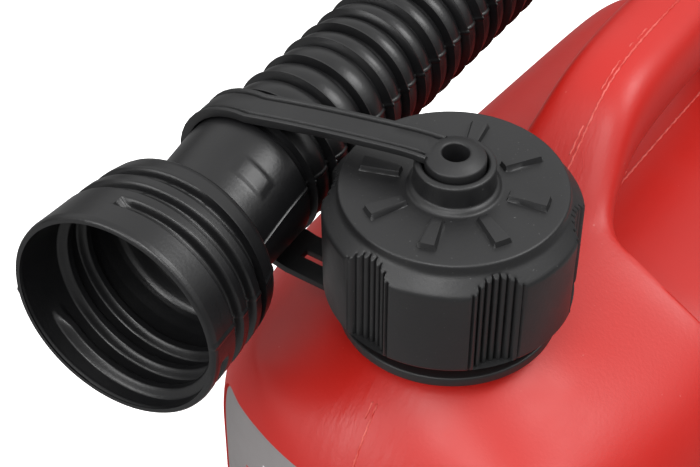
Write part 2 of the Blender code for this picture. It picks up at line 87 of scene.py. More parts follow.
def extent(node, axis):
    """The node's lowest and highest coordinate along an axis, in millimetres from the neck point."""
    low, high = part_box(node)
    return (low[axis] - NECK[axis]) / MM, (high[axis] - NECK[axis]) / MM


def place(x, y, z):
    return NECK + Vector((x, y, z)) * MM


# ---------------------------------------------------------------- mesh helpers

def object_from(name, vertices, faces):
    """A mesh object from points in millimetres from the neck point."""
    mesh = bpy.data.meshes.new(name)
    points = np.asarray(vertices, float) * MM + np.array(NECK)
    mesh.from_pydata(points.tolist(), [], faces)
    mesh.validate()
    bm = bmesh.new()
    bm.from_mesh(mesh)
    bmesh.ops.recalc_face_normals(bm, faces=bm.faces)
    bm.to_mesh(mesh)
    bm.free()
    mesh.shade_smooth()
    obj = bpy.data.objects.new(name, mesh)
    bpy.context.scene.collection.objects.link(obj)
    return obj


def grid_faces(rows, columns, close_rows, close_columns):
    """Quads of a grid of points, listed row by row."""
    faces = []
    for row in range(rows if close_rows else rows - 1):
        below = (row + 1) % rows
        for column in range(columns if close_columns else columns - 1):
            beside = (column + 1) % columns
            faces.append((row * columns + column, row * columns + beside,
                          below * columns + beside, below * columns + column))
    return faces


def turned_solid(name, grid):
    """A solid from rings of points. Its first and last rings are closed with a point on the axis."""
    rows, columns = grid.shape[:2]
    points = grid.reshape(-1, 3)
    faces = grid_faces(rows, columns, False, True)
    poles = [grid[0].mean(axis=0), grid[-1].mean(axis=0)]
    first, last = rows * columns, rows * columns + 1
    for column in range(columns):
        beside = (column + 1) % columns
        faces.append((first, beside, column))
        end = (rows - 1) * columns
        faces.append((last, end + column, end + beside))
    return object_from(name, np.vstack([points, poles]), faces)


def hollow_ring(name, grid):
    """Rows of points that close on themselves both ways, such as a tube with a wall."""
    rows, columns = grid.shape[:2]
    return object_from(name, grid.reshape(-1, 3), grid_faces(rows, columns, True, True))


def round_angles(count):
    return np.linspace(0, 2 * math.pi, count, endpoint=False)


def smoothstep(low, high, value):
    t = np.clip((np.asarray(value, float) - low) / (high - low), 0.0, 1.0)
    return t * t * (3.0 - 2.0 * t)


def filleted(points, radius, steps=4):
    """An open outline of (radius, height) points with its inner corners rounded."""
    out = [points[0]]
    for before, corner, after in zip(points, points[1:], points[2:]):
        a, b, c = (np.array(p, float) for p in (before, corner, after))
        reach = min(radius, 0.45 * np.linalg.norm(a - b), 0.45 * np.linalg.norm(c - b))
        start = b + (a - b) / np.linalg.norm(a - b) * reach
        end = b + (c - b) / np.linalg.norm(c - b) * reach
        for step in range(steps + 1):
            t = step / steps
            out.append(tuple((1 - t) ** 2 * start + 2 * t * (1 - t) * b + t * t * end))
    out.append(points[-1])
    return out


def densified(points, longest):
    """The outline with extra points, so that no step is longer than given."""
    out = [points[0]]
    for a, b in zip(points, points[1:]):
        a, b = np.array(a, float), np.array(b, float)
        count = max(1, math.ceil(np.linalg.norm(b - a) / longest))
        out += [tuple(a + (b - a) * step / count) for step in range(1, count + 1)]
    return out


def apply_modifiers(obj):
    graph = bpy.context.evaluated_depsgraph_get()
    mesh = bpy.data.meshes.new_from_object(obj.evaluated_get(graph))
    obj.modifiers.clear()
    obj.data = mesh
    return obj


def boolean(obj, operation, other):
    """Joins the other object to this one or cuts it away. The other object is used up."""
    cut = obj.modifiers.new("Cut", "BOOLEAN")
    cut.operation = operation
    cut.object = other
    cut.solver = "EXACT"
    apply_modifiers(obj)
    bpy.data.objects.remove(other)
    return obj


# ---------------------------------------------------------------- materials

class Nodes:
    """A material's node tree with short calls for the nodes that the finishes use."""

    def __init__(self, name):
        self.material = bpy.data.materials.new(name)
        self.material.use_nodes = True
        self.tree = self.material.node_tree
        self.shader = self.tree.nodes["Principled BSDF"]
        self.place = self.tree.nodes.new("ShaderNodeTexCoord").outputs["Object"]

    def link(self, source, target):
        self.tree.links.new(source, target)

    def noise(self, scale, detail=3.0, roughness=0.5, stretch=None):
        node = self.tree.nodes.new("ShaderNodeTexNoise")
        node.inputs["Scale"].default_value = scale
        node.inputs["Detail"].default_value = detail
        node.inputs["Roughness"].default_value = roughness
        source = self.place
        if stretch:
            mapping = self.tree.nodes.new("ShaderNodeMapping")
            mapping.inputs["Scale"].default_value = stretch
            self.link(self.place, mapping.inputs["Vector"])
            source = mapping.outputs["Vector"]
        self.link(source, node.inputs["Vector"])
        return node.outputs["Fac"]

    def ramp(self, source, low, high, start, end):
        """Maps a value from low..high to start..end, clamped."""
        node = self.tree.nodes.new("ShaderNodeMapRange")
        node.inputs["From Min"].default_value = low
        node.inputs["From Max"].default_value = high
        node.inputs["To Min"].default_value = start
        node.inputs["To Max"].default_value = end
        self.link(source, node.inputs["Value"])
        return node.outputs["Result"]

    def math(self, operation, first, second):
        node = self.tree.nodes.new("ShaderNodeMath")
        node.operation = operation
        for value, socket in ((first, node.inputs[0]), (second, node.inputs[1])):
            if isinstance(value, (int, float)):
                socket.default_value = value
            else:
                self.link(value, socket)
        return node.outputs["Value"]

    def mix(self, factor, first, second):
        node = self.tree.nodes.new("ShaderNodeMix")
        node.data_type = "RGBA"
        self.link(factor, node.inputs["Factor"])
        for value, socket in ((first, node.inputs[6]), (second, node.inputs[7])):
            if isinstance(value, tuple):
                socket.default_value = (*value, 1.0)
            else:
                self.link(value, socket)
        return node.outputs[2]

    def near(self, point, inner, outer):
        """1 within the inner distance of a point, falling to 0 at the outer one, in millimetres."""
        node = self.tree.nodes.new("ShaderNodeVectorMath")
        node.operation = "DISTANCE"
        node.inputs[1].default_value = place(*point)
        self.link(self.place, node.inputs[0])
        return self.ramp(node.outputs["Value"], inner * MM, outer * MM, 1.0, 0.0)

    def bump(self, height, strength, distance, below=None):
        node = self.tree.nodes.new("ShaderNodeBump")
        node.inputs["Strength"].default_value = strength
        node.inputs["Distance"].default_value = distance
        self.link(height, node.inputs["Height"])
        if below:
            self.link(below, node.inputs["Normal"])
        return node.outputs["Normal"]

    def finish(self, colour, roughness, normal):
        self.link(colour, self.shader.inputs["Base Color"])
        self.link(roughness, self.shader.inputs["Roughness"])
        self.link(normal, self.shader.inputs["Normal"])
        return self.material


def red_plastic():
    """Blow-moulded polyethylene: a fine grain, wrinkles where it was drawn to the neck, and small scuffs."""
    n = Nodes("tank_red")
    cloud = n.noise(9.0, 4.0)
    colour = n.mix(n.ramp(cloud, 0.3, 0.7, 0.0, 1.0), (0.43, 0.007, 0.003), (0.47, 0.009, 0.004))
    specks = n.ramp(n.noise(700.0, 1.0), 0.80, 0.83, 0.0, 0.25)
    colour = n.mix(specks, colour, (0.70, 0.30, 0.27))
    roughness = n.ramp(n.noise(60.0, 4.0), 0.3, 0.7, 0.38, 0.48)
    grain = n.bump(n.noise(1100.0, 2.0), 0.35, 0.0001)
    wrinkles = n.noise(420.0, 3.0, 0.6, (0.30, 1.0, 0.30))
    front = n.math("MULTIPLY", wrinkles, n.near((-38.0, 3.0, -16.0), 6.0, 26.0))
    behind = n.math("MULTIPLY", wrinkles, n.near((60.0, 2.0, 8.0), 4.0, 26.0))
    drawn = n.bump(n.math("ADD", front, behind), 0.35, 0.0006, grain)
    waves = n.bump(n.noise(70.0, 2.0, 0.5, (0.5, 1.0, 1.0)), 0.15, 0.0006, drawn)
    n.shader.inputs["Subsurface Weight"].default_value = 0.10
    n.shader.inputs["Subsurface Radius"].default_value = (0.006, 0.0012, 0.001)
    n.shader.inputs["Subsurface Scale"].default_value = 0.4
    return n.finish(colour, roughness, waves)


def flash_plastic():
    """The same plastic where it was torn thin: paler and duller."""
    n = Nodes("flash_red")
    pale = n.ramp(n.noise(300.0, 3.0), 0.35, 0.65, 0.0, 1.0)
    colour = n.mix(pale, (0.46, 0.015, 0.008), (0.64, 0.11, 0.09))
    roughness = n.ramp(n.noise(200.0, 2.0), 0.3, 0.7, 0.35, 0.5)
    return n.finish(colour, roughness, n.bump(n.noise(1500.0, 2.0), 0.4, 0.0001))


def black_plastic(name, base, light, rough_low, rough_high, dust=0.0, grain_scale=1200.0):
    """Black polyethylene with a fine grain, uneven sheen and a few light dust specks."""
    n = Nodes(name)
    colour = n.mix(n.ramp(n.noise(40.0, 4.0), 0.3, 0.7, 0.0, 1.0), base, light)
    if dust:
        specks = n.ramp(n.noise(1500.0, 1.0), 0.76, 0.80, 0.0, dust)
        colour = n.mix(specks, colour, (0.30, 0.30, 0.30))
    roughness = n.ramp(n.noise(90.0, 4.0), 0.3, 0.7, rough_low, rough_high)
    grain = n.bump(n.noise(grain_scale, 2.0), 0.3, 0.0001)
    waves = n.bump(n.noise(140.0, 2.0), 0.12, 0.0003, grain)
    return n.finish(colour, roughness, waves)


def label_film():
    n = Nodes("label_grey")
    cloud = n.ramp(n.noise(30.0, 3.0), 0.3, 0.7, 0.0, 1.0)
    colour = n.mix(cloud, (0.205, 0.190, 0.190), (0.235, 0.220, 0.220))
    roughness = n.ramp(n.noise(200.0, 3.0), 0.3, 0.7, 0.42, 0.52)
    normal = n.bump(n.noise(500.0, 2.0), 0.1, 0.0001)
    return n.finish(colour, roughness, normal)


def print_ink(name, base):
    n = Nodes(name)
    colour = n.mix(n.noise(300.0, 2.0), tuple(0.92 * value for value in base), base)
    roughness = n.ramp(n.noise(200.0, 3.0), 0.3, 0.7, 0.42, 0.52)
    return n.finish(colour, roughness, n.bump(n.noise(500.0, 2.0), 0.1, 0.0001))


def finished(obj, material, slot, *nodes):
    obj.data.materials.clear()
    obj.data.materials.append(material)
    if nodes:
        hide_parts(*nodes)
    return obj


# ---------------------------------------------------------------- tank

# The tank's cage is a lattice: stations along X, layers out from the middle plane, levels up from the base.
# A station is: x, outer half width, how far its outer end lies behind its middle, height of the top, fall of
# the top towards the outer end, height of the grip's underside, and height of the deck beside the grip.
STATIONS = (
    (-52.3, 51.2, 17.0, -31.0, -12.5, -44.0, -57.0),
    (-36.0, 61.3, 16.0, -16.0, 5.0, -36.0, -55.0),
    (-20.0, 67.5, 16.0, -3.5, 19.5, -30.0, -52.0),
    (0.0, 70.8, 14.0, -1.0, 22.0, -28.0, -50.0),
    (20.0, 72.8, 8.0, -1.5, 21.5, -27.0, -49.0),
    (40.0, 73.0, 2.0, -1.5, 21.5, -26.0, -44.0),
    (54.0, 72.8, 0.0, -0.5, 21.5, -18.0, -33.0),
    (65.0, 72.6, 0.0, 11.5, 0.0, -11.0, -29.0),
    (77.0, 72.2, 0.0, 23.5, 0.0, -4.0, -28.5),
    (95.0, 71.0, 0.0, 27.3, 0.0, 0.0, -28.5),
    (125.0, 69.4, 0.0, 26.0, 0.0, -0.5, -29.0),
    (155.0, 67.8, 0.0, 24.8, 0.0, -3.0, -30.0),
    (180.0, 66.5, 0.0, 21.5, 0.0, -9.0, -31.0),
    (202.0, 65.3, -2.0, 11.0, 0.0, -18.0, -33.0),
    (217.0, 63.0, -6.0, -7.0, 0.0, -29.0, -38.0),
    (229.0, 52.0, -12.0, -30.0, 0.0, -41.0, -52.0),
)
NECK_STATIONS = (2, 3, 4)
BLOCK_END = 6
PILLAR_START = 12
LAST_STATION = len(STATIONS) - 1
DECK_LEVEL = 4
TOP_LEVEL = 6
LOW_LEVELS = (BASE_Z, BASE_Z + 10.0, -118.0, -64.0)
LOW_LEVEL_FRONT = -76.0
LAYER_SHARES = (0.0, 0.08, 0.5, 1.0)
SHOULDER_FALLS = (0.0, 0.08, 0.6, 1.0)
DECK_FALLS = (0.0, 0.0, 3.5, 12.0)
EDGE_INSET = 9.5
BASE_INSET = 6.0
NECK_PAD_R = 25.0
GRIP_HALF_WIDTH = 14.8
WALL = 2.4
NECK_R = 22.6
NECK_BORE_R = 20.4
NECK_TOP = extent("tank", 2)[1]
BEAD_R = 25.0
THREAD_R = 24.3
THREAD_PITCH = 6.0
THREAD_TURNS = 1.6
THREAD_START = 14.0
NECK_COLUMNS = 144
NECK_ROOT = -14.0


def layer_y(station, layer, level):
    """How far the cage's vertex lies from the middle plane."""
    outer = STATIONS[station][1]
    if layer == 0:
        return 0.0
    if layer == 3:
        edge = TOP_LEVEL if station <= BLOCK_END else DECK_LEVEL
        insets = {edge: EDGE_INSET, 0: BASE_INSET}
        if station == BLOCK_END:
            insets.update({TOP_LEVEL - 1: 4.0, DECK_LEVEL: 2.0})
        return outer - insets.get(level, 0.0)
    if layer == 2:
        return outer * (0.71 if station == 0 else 0.64)
    if level >= TOP_LEVEL - 1 and station >= BLOCK_END:
        return {BLOCK_END: 21.0, BLOCK_END + 1: 16.5}.get(station, GRIP_HALF_WIDTH)
    if level == TOP_LEVEL and station in NECK_STATIONS:
        return NECK_PAD_R if station == NECK_STATIONS[1] else NECK_PAD_R * math.sqrt(0.5)
    return 18.0


def layer_x(station, layer, level):
    """The vertex's place along X: the ends are rounded in plan and lean in at the top and the base."""
    x, sweep = STATIONS[station][0], STATIONS[station][2]
    x += sweep * LAYER_SHARES[layer]
    if station == 0:
        x += {TOP_LEVEL: 7.3, TOP_LEVEL - 1: 2.3 * (layer < 3), 0: BASE_INSET}.get(level, 0.0)
    elif station == LAST_STATION:
        x -= {TOP_LEVEL: 7.0, TOP_LEVEL - 1: 2.0, 0: BASE_INSET}.get(level, 0.0)
    elif station == BLOCK_END and layer > 0:
        x += {TOP_LEVEL: -7.0, TOP_LEVEL - 1: -3.0}.get(level, 2.0) * (0.4 if layer == 1 else 1.0)
    if level == TOP_LEVEL and station in NECK_STATIONS and layer < 2:
        side = station - NECK_STATIONS[1]
        x = side * NECK_PAD_R * (1.0 if layer == 0 else math.sqrt(0.5))
    return x


def level_z(station, layer, level):
    """The vertex's height. The shoulder falls away from the neck towards both sides."""
    top, fall, under, deck = STATIONS[station][3:]
    if level < DECK_LEVEL:
        return LOW_LEVEL_FRONT if level == 3 and station < BLOCK_END else LOW_LEVELS[level]
    shoulder = top - fall * SHOULDER_FALLS[layer]
    if station < BLOCK_END:
        if layer == 3:
            return (-56.0, shoulder - 18.0, shoulder)[level - DECK_LEVEL]
        return (deck, under, shoulder)[level - DECK_LEVEL]
    if station == BLOCK_END:
        if layer == 3:
            return (shoulder - 22.0, shoulder - 11.0, shoulder)[level - DECK_LEVEL]
        return (deck - DECK_FALLS[layer], under, shoulder)[level - DECK_LEVEL]
    if level == DECK_LEVEL:
        return deck - DECK_FALLS[layer]
    edge = 1.5 if level == TOP_LEVEL and layer == 1 else 0.0
    return (under, top)[level - DECK_LEVEL - 1] - edge


def filled(station, layer, level):
    """Whether the lattice's cell, from these indices to the next ones, is part of the tank."""
    if min(station, layer, level) < 0 or station >= LAST_STATION or layer > 2 or level >= TOP_LEVEL:
        return False
    if level < DECK_LEVEL or station < BLOCK_END:
        return True
    if layer > 0:
        return False
    return level == TOP_LEVEL - 1 or station >= PILLAR_START


def cell_corners(cell, axis, side):
    """Indices of the four corners of one side of a cell."""
    second, third = [other for other in range(3) if other != axis]
    for step_two, step_three in ((0, 0), (1, 0), (1, 1), (0, 1)):
        index = list(cell)
        index[axis] += side
        index[second] += step_two
        index[third] += step_three
        yield tuple(index)


def tank_form(name, levels):
    """The tank's outer form: half a cage, open at the middle plane, mirrored and subdivided."""
    found, faces = {}, []
    for station in range(LAST_STATION):
        for layer in range(3):
            for level in range(TOP_LEVEL):
                cell = (station, layer, level)
                for axis in range(3):
                    for side in (0, 1):
                        beyond = list(cell)
                        beyond[axis] += 2 * side - 1
                        if not filled(*cell) or filled(*beyond) or (axis == 1 and beyond[1] < 0):
                            continue
                        corners = cell_corners(cell, axis, side)
                        faces.append([found.setdefault(index, len(found)) for index in corners])
    points = [(layer_x(*index), layer_y(*index), level_z(*index)) for index in found]
    obj = object_from(name, points, faces)
    bm = bmesh.new()
    bm.from_mesh(obj.data)
    creases = bm.edges.layers.float.new("crease_edge")
    bm.verts.ensure_lookup_table()
    crest = [bm.verts[found[(BLOCK_END, layer, TOP_LEVEL)]] for layer in (1, 2, 3)]
    for edge in bm.edges:
        if all(vertex in crest for vertex in edge.verts):
            edge[creases] = 0.55
    bm.to_mesh(obj.data)
    bm.free()
    mirror = obj.modifiers.new("Mirror", "MIRROR")
    mirror.use_axis = (False, True, False)
    mirror.use_clip = True
    mirror.merge_threshold = 0.00001
    rounding = obj.modifiers.new("Rounding", "SUBSURF")
    rounding.levels = levels
    rounding.render_levels = levels
    return apply_modifiers(obj)


def neck_grid():
    """The neck's outer and inner walls, with the thread ridge standing out of the outer wall."""
    bore = [(NECK_BORE_R, NECK_ROOT), (NECK_BORE_R, NECK_TOP), (NECK_R, NECK_TOP), (NECK_R, -0.3)]
    bead = [(BEAD_R, -0.3), (BEAD_R, -3.5), (NECK_R, -3.5), (NECK_R, NECK_ROOT)]
    outline = filleted(bore + bead, 0.8)
    rows = np.array(densified(outline, 0.8))
    angles = round_angles(NECK_COLUMNS)
    grid = np.zeros((len(rows), len(angles), 3))
    outside = rows[:, 0] > NECK_BORE_R + 1.5
    for column, angle in enumerate(angles):
        radius = rows[:, 0].copy()
        for turn in (0, 1):
            middle = THREAD_START + THREAD_PITCH * (angle / (2 * math.pi) + turn)
            last = THREAD_START + THREAD_PITCH * THREAD_TURNS
            run = min(middle - THREAD_START, last - middle)
            height = (THREAD_R - NECK_R) * smoothstep(-0.2, 1.0, run)
            ridge = height * (1 - smoothstep(0.7, 1.6, np.abs(rows[:, 1] - middle)))
            radius += ridge * outside
        grid[:, column] = np.stack([radius * math.cos(angle), radius * math.sin(angle), rows[:, 1]], axis=1)
    return grid


def make_tank(red):
    tank = tank_form("tank_shell", 3)
    outlines = middle_outlines(tank)
    cavity = tank_form("tank_cavity", 2)
    inset = cavity.modifiers.new("Inset", "DISPLACE")
    inset.strength = -WALL * MM
    inset.mid_level = 0.0
    apply_modifiers(cavity)
    boolean(tank, "UNION", hollow_ring("tank_neck", neck_grid()))
    boolean(tank, "DIFFERENCE", cavity)
    heights = (NECK_TOP + 3.0, NECK_ROOT - 2.0)
    bore = np.array([[(NECK_BORE_R * math.cos(a), NECK_BORE_R * math.sin(a), z)
                      for a in round_angles(NECK_COLUMNS)] for z in heights])
    boolean(tank, "DIFFERENCE", turned_solid("tank_bore", bore))
    cut_recess(tank)
    tank.data.shade_smooth()
    tank.data.set_sharp_from_angle(angle=math.radians(50))
    finished(tank, red, "tank_red", "tank")
    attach(tank, "tank")
    return tank, outlines


# ---------------------------------------------------------------- cap

CAP_COLUMNS = 480
CAP_GROUPS = 6
CAP_GROUP_ANGLE = math.radians(-128.5)
SCALLOP_R = 10.0
SCALLOP_FLOOR_R = 29.3
RIBS = 7
RIB_SPREAD = 5.4
RIB_HEIGHT = 1.25
PADS = 8
PAD_ANGLE = math.radians(15.5)
PAD_IN_R, PAD_OUT_R = 14.0, 24.0
PAD_IN_WIDTH, PAD_OUT_WIDTH = 2.8, 4.4
PAD_RISE = 1.5
CAP_TOP = 42.3
CAP_BOTTOM = extent("screw_cap", 2)[0]
HUB_R, HUB_TOP = 10.3, 50.0
CAP_BORE_R = 25.1
CAP_CEILING = 38.9


def cap_rows():
    """The cap's section, from the middle of its top, over the hub and down the skirt to its underside."""
    top = [(0.3, 45.0), (8.1, 45.0), (8.2, HUB_TOP - 0.5), (8.8, HUB_TOP), (10.2, HUB_TOP - 0.3)]
    top += [(10.35, CAP_TOP + 1.4), (11.2, CAP_TOP + 0.9), (11.9, CAP_TOP)]
    disc = [(PAD_IN_R - 0.3, CAP_TOP), (PAD_OUT_R + 0.3, CAP_TOP)]
    side = [(28.9, CAP_TOP), (29.0, 39.6), (33.0, 35.4), (32.7, CAP_BOTTOM + 0.6)]
    under = [(32.3, CAP_BOTTOM), (CAP_BORE_R, CAP_BOTTOM), (CAP_BORE_R, CAP_CEILING), (0.3, CAP_CEILING)]
    outline = filleted(top + disc + side + under, 0.9)
    rows = []
    for a, b in zip(outline, outline[1:]):
        fine = 0.35 if (a[0] > 27.0 and a[1] > 34.0) else 1.6
        rows += densified([a, b], fine)[:-1]
    return np.array(rows + [outline[-1]])


def cap_columns():
    """Angles about the cap's axis, closer together across the hollows with their ribs."""
    pitch = 2 * math.pi / CAP_GROUPS
    within = np.linspace(-0.5, 0.5, CAP_COLUMNS // CAP_GROUPS, endpoint=False)
    warped = within * (0.42 + 2.32 * within**2)
    return np.concatenate([CAP_GROUP_ANGLE + pitch * (group + warped) for group in range(CAP_GROUPS)])


def scalloped(radius, angle):
    """The radius where a hollow with upright ribs cuts the skirt."""
    pitch = 2 * math.pi / CAP_GROUPS
    across = (angle - CAP_GROUP_ANGLE + pitch / 2) % pitch - pitch / 2
    centre = SCALLOP_FLOOR_R + SCALLOP_R
    side = centre * math.sin(across)
    if abs(side) >= SCALLOP_R:
        return radius
    floor = centre * math.cos(across) - math.sqrt(SCALLOP_R**2 - side**2)
    offset = floor * math.sin(across)
    step = 2 * RIB_SPREAD / (RIBS - 1)
    nearest = round(offset / step) * step
    rib = 0.0
    if abs(nearest) <= RIB_SPREAD + 0.01:
        rib = RIB_HEIGHT * math.sqrt(max(0.0, 1 - ((offset - nearest) / (0.44 * step)) ** 2))
    edge = smoothstep(0.0, 0.9, radius - floor)
    return np.where(radius > floor, np.minimum(radius, floor + rib * edge), radius)


def make_cap(black):
    rows = cap_rows()
    angles = cap_columns()
    grid = np.zeros((len(rows), len(angles), 3))
    top_side = np.arange(len(rows)) < np.argmax(rows[:, 1] <= CAP_BOTTOM + 0.1)
    for column, angle in enumerate(angles):
        radius, height = rows[:, 0].copy(), rows[:, 1].copy()
        skirt = top_side & (radius > SCALLOP_FLOOR_R - 1.0)
        radius[skirt] = scalloped(radius[skirt], angle)
        pitch = 2 * math.pi / PADS
        across = (angle - PAD_ANGLE + pitch / 2) % pitch - pitch / 2
        width = PAD_IN_WIDTH + (PAD_OUT_WIDTH - PAD_IN_WIDTH) * (radius - PAD_IN_R) / (PAD_OUT_R - PAD_IN_R)
        inside = 1 - smoothstep(-0.25, 0.25, np.abs(radius * math.sin(across)) - width / 2)
        inner_end = smoothstep(PAD_IN_R - 0.3, PAD_IN_R + 0.2, radius)
        along = inner_end * (1 - smoothstep(PAD_OUT_R - 0.2, PAD_OUT_R + 0.3, radius))
        on_disc = top_side & (np.abs(height - CAP_TOP) < 0.05)
        height += PAD_RISE * inside * along * on_disc
        grid[:, column] = np.stack([radius * math.cos(angle), radius * math.sin(angle), height], axis=1)
    cap = turned_solid("cap_moulding", grid)
    cap.data.set_sharp_from_angle(angle=math.radians(38))
    finished(cap, black, "cap_black", "screw_cap")
    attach(cap, "cap")
    return cap


def make_seal(rubber):
    angles = round_angles(96)
    low, high = extent("cap_seal", 2)
    outline = [(18.8, low), (24.7, low), (24.7, high), (18.8, high)]
    outline = filleted(outline + outline[:2], 0.4)[1:-1]
    grid = np.array([[(r * math.cos(a), r * math.sin(a), h) for a in angles] for r, h in outline])
    seal = finished(hollow_ring("seal_ring", grid), rubber, "seal_rubber", "cap_seal")
    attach(seal, "cap")


# ---------------------------------------------------------------- strap

RING_IN_R, RING_OUT_R, RING_TOP = 23.2, 29.0, 3.0
TAIL_X, TAIL_WIDTH = -7.3, 14.5
SLOT_Y, SLOT_HALF_X, SLOT_HALF_Y = 36.5, 1.5, 4.5
LOOP_R = 21.0
BAND_WIDTH = 10.4
LOOP_THICK, EYE_THICK = 2.4, 1.9
EYE_R, EYE_HOLE_R, EYE_TOP, EYE_EDGE_Z, EYE_BAND_Z = 7.7, 3.4, 53.1, 51.5, 51.3


def strap_path():
    """The band's middle line as (x, y, z, width): from the ring, round the spout, and over to the eye."""
    points = [(26.0, 1.6, TAIL_WIDTH), (34.0, 1.6, TAIL_WIDTH), (42.0, 1.7, TAIL_WIDTH)]
    for degrees in range(-70, 91, 8):
        angle = math.radians(degrees)
        width = BAND_WIDTH + (TAIL_WIDTH - BAND_WIDTH) * (1 - smoothstep(-70, -10, degrees))
        across, up = LOOP_R * math.cos(angle), LOOP_R * math.sin(angle)
        points.append((SPOUT_Y + across, SPOUT_Z + up, float(width)))
    top = SPOUT_Z + LOOP_R
    for step in range(1, 15):
        y = SPOUT_Y + (5.5 - SPOUT_Y) * step / 14
        z = EYE_BAND_Z + (top - EYE_BAND_Z) * max(0.0, y - HUB_R) / (SPOUT_Y - HUB_R)
        points.append((y, z, BAND_WIDTH))
    path = []
    for y, z, width in points:
        lean = 1.0 if z < SPOUT_Z else min(1.0, max(0.0, y / SPOUT_Y)) ** 1.5
        path.append((TAIL_X * lean, y, z, width))
    return path


def band_section(width, thick):
    """The band's cross-section as (across, out) points: flat, with a groove and a raised edge each side."""
    half, top, floor = width / 2, thick / 2, thick / 2 - 1.1
    side = [(0.0, -thick), (0.0, -0.25), (0.25, 0.0), (0.85, 0.0), (1.1, -0.25), (1.2, floor - top),
            (2.0, floor - top), (2.2, -0.45), (2.5, -0.2)]
    left = [(across - half, top + rise) for across, rise in side]
    return left + [(-across, rise) for across, rise in reversed(left)]


def make_strap(black):
    path = strap_path()
    grid = []
    for index, (x, y, z, width) in enumerate(path):
        before, after = path[max(0, index - 1)], path[min(len(path) - 1, index + 1)]
        along = Vector((0.0, after[1] - before[1], after[2] - before[2])).normalized()
        out = along.cross(Vector((1.0, 0.0, 0.0)))
        thick = EYE_THICK + (LOOP_THICK - EYE_THICK) * float(smoothstep(20.0, 50.0, y))
        section = band_section(width, thick)
        grid.append([(x + across, y + out.y * rise, z + out.z * rise) for across, rise in section])
    grid = np.array(grid)
    rows, columns = grid.shape[:2]
    faces = grid_faces(rows, columns, False, True)
    end = (rows - 1) * columns
    faces += [tuple(range(columns)), tuple(end + column for column in reversed(range(columns)))]
    strap = object_from("strap_moulding", grid.reshape(-1, 3), faces)
    angles = round_angles(96)

    def turned(name, outline, fillet):
        rounded = filleted(outline + outline[:2], fillet)[1:-1]
        grid = [[(r * math.cos(a), r * math.sin(a), h) for a in angles] for r, h in rounded]
        return hollow_ring(name, np.array(grid))

    outline = [(RING_OUT_R, RING_TOP), (RING_OUT_R, 0.0), (RING_IN_R, 0.0), (RING_IN_R, RING_TOP)]
    ring = turned("ring", outline, 0.6)
    dome = [(EYE_HOLE_R, EYE_TOP - 0.4), (EYE_HOLE_R + 0.6, EYE_TOP)]
    dome += [(5.4, EYE_TOP - 0.45), (EYE_R, EYE_EDGE_Z)]
    eye = turned("eye", dome + [(EYE_R, 45.3), (EYE_HOLE_R, 45.3)], 0.5)
    boolean(strap, "UNION", ring)
    boolean(strap, "UNION", eye)
    corners = ((-1, -1), (1, -1), (1, 1), (-1, 1))
    outline = [(TAIL_X + SLOT_HALF_X * sx, SLOT_Y + SLOT_HALF_Y * sy) for sx, sy in corners]
    slot = [[(x, y, z) for x, y in outline] for z in (-4, 6)]
    boolean(strap, "DIFFERENCE", turned_solid("slot", np.array(slot, float)))
    bevel = strap.modifiers.new("Edges", "BEVEL")
    bevel.width = 0.25 * MM
    bevel.segments = 2
    bevel.limit_method = "ANGLE"
    bevel.angle_limit = math.radians(40)
    apply_modifiers(strap)
    strap.data.shade_smooth()
    strap.data.set_sharp_from_angle(angle=math.radians(45))
    finished(strap, black, "strap_black", "retaining_strap", "strap_eye")
    # The band rises between the loop's top and the cap's edge. The slant keeps the neck ring on the strap's
    # side of the start.
    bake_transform(strap)
    return strap


# ---------------------------------------------------------------- spout

MOUTH_X = -69.0
RIM_START_X, RIM_END_X = -44.0, -38.0
COLLAR_PROFILE = ((MOUTH_X, 28.9), (-68.6, 29.3), (-67.5, 29.5), (-63.0, 29.1), (-56.0, 28.6), (-49.0, 27.9),
                  (-43.5, 27.2), (-40.0, 26.4), (-38.8, 25.9), (-38.0, 25.2), (-37.4, 23.4), (-36.8, 20.4))
SPOUT_NECK_R = 18.9
RING_XS = (-8.7, 0.7, 10.0, 19.2, 28.5)
RIB_PITCH = 7.8
BELLOWS_END = RING_XS[-1] + 11 * RIB_PITCH
BELLOWS_R = 17.9
SPOUT_WALL = 1.6
GROOVE_PITCH = 6.5
GROOVES = ((math.radians(82), -59.4, 2.45), (math.radians(186), -64.4, 0.40))
NOZZLE_END = extent("spout_nozzle", 0)[1]
PAD_X, PAD_TURN, PAD_HALF_X, PAD_HALF_Y = -24.0, math.radians(122), 3.4, 5.4


def collar_share(x):
    """0 behind the neck, 1 at the collar's rear rim, and rising to 2 at the mouth."""
    if x > RIM_END_X:
        return 1.0 - float(smoothstep(RIM_END_X, -8.0, x))
    return 1.0 + (RIM_END_X - x) / (RIM_END_X - MOUTH_X)


def spout_axis(x):
    """The axis is straight and parallel to X, but the heavy collar hangs a little."""
    share = collar_share(x)
    return SPOUT_Y - 0.8 * min(1.0, share), SPOUT_Z - 1.8 * min(1.0, share) - 0.95 * max(0.0, share - 1.0)


def corrugation(x):
    """Where x lies in its corrugation: the distance from the rib that starts it, and its length."""
    start = max([ring for ring in RING_XS if ring <= x], default=RING_XS[0] - RIB_PITCH)
    if x >= RING_XS[-1]:
        start += RIB_PITCH * math.floor((x - RING_XS[-1]) / RIB_PITCH)
        return x - start, RIB_PITCH
    end = min(ring for ring in RING_XS if ring > x)
    return x - start, end - start


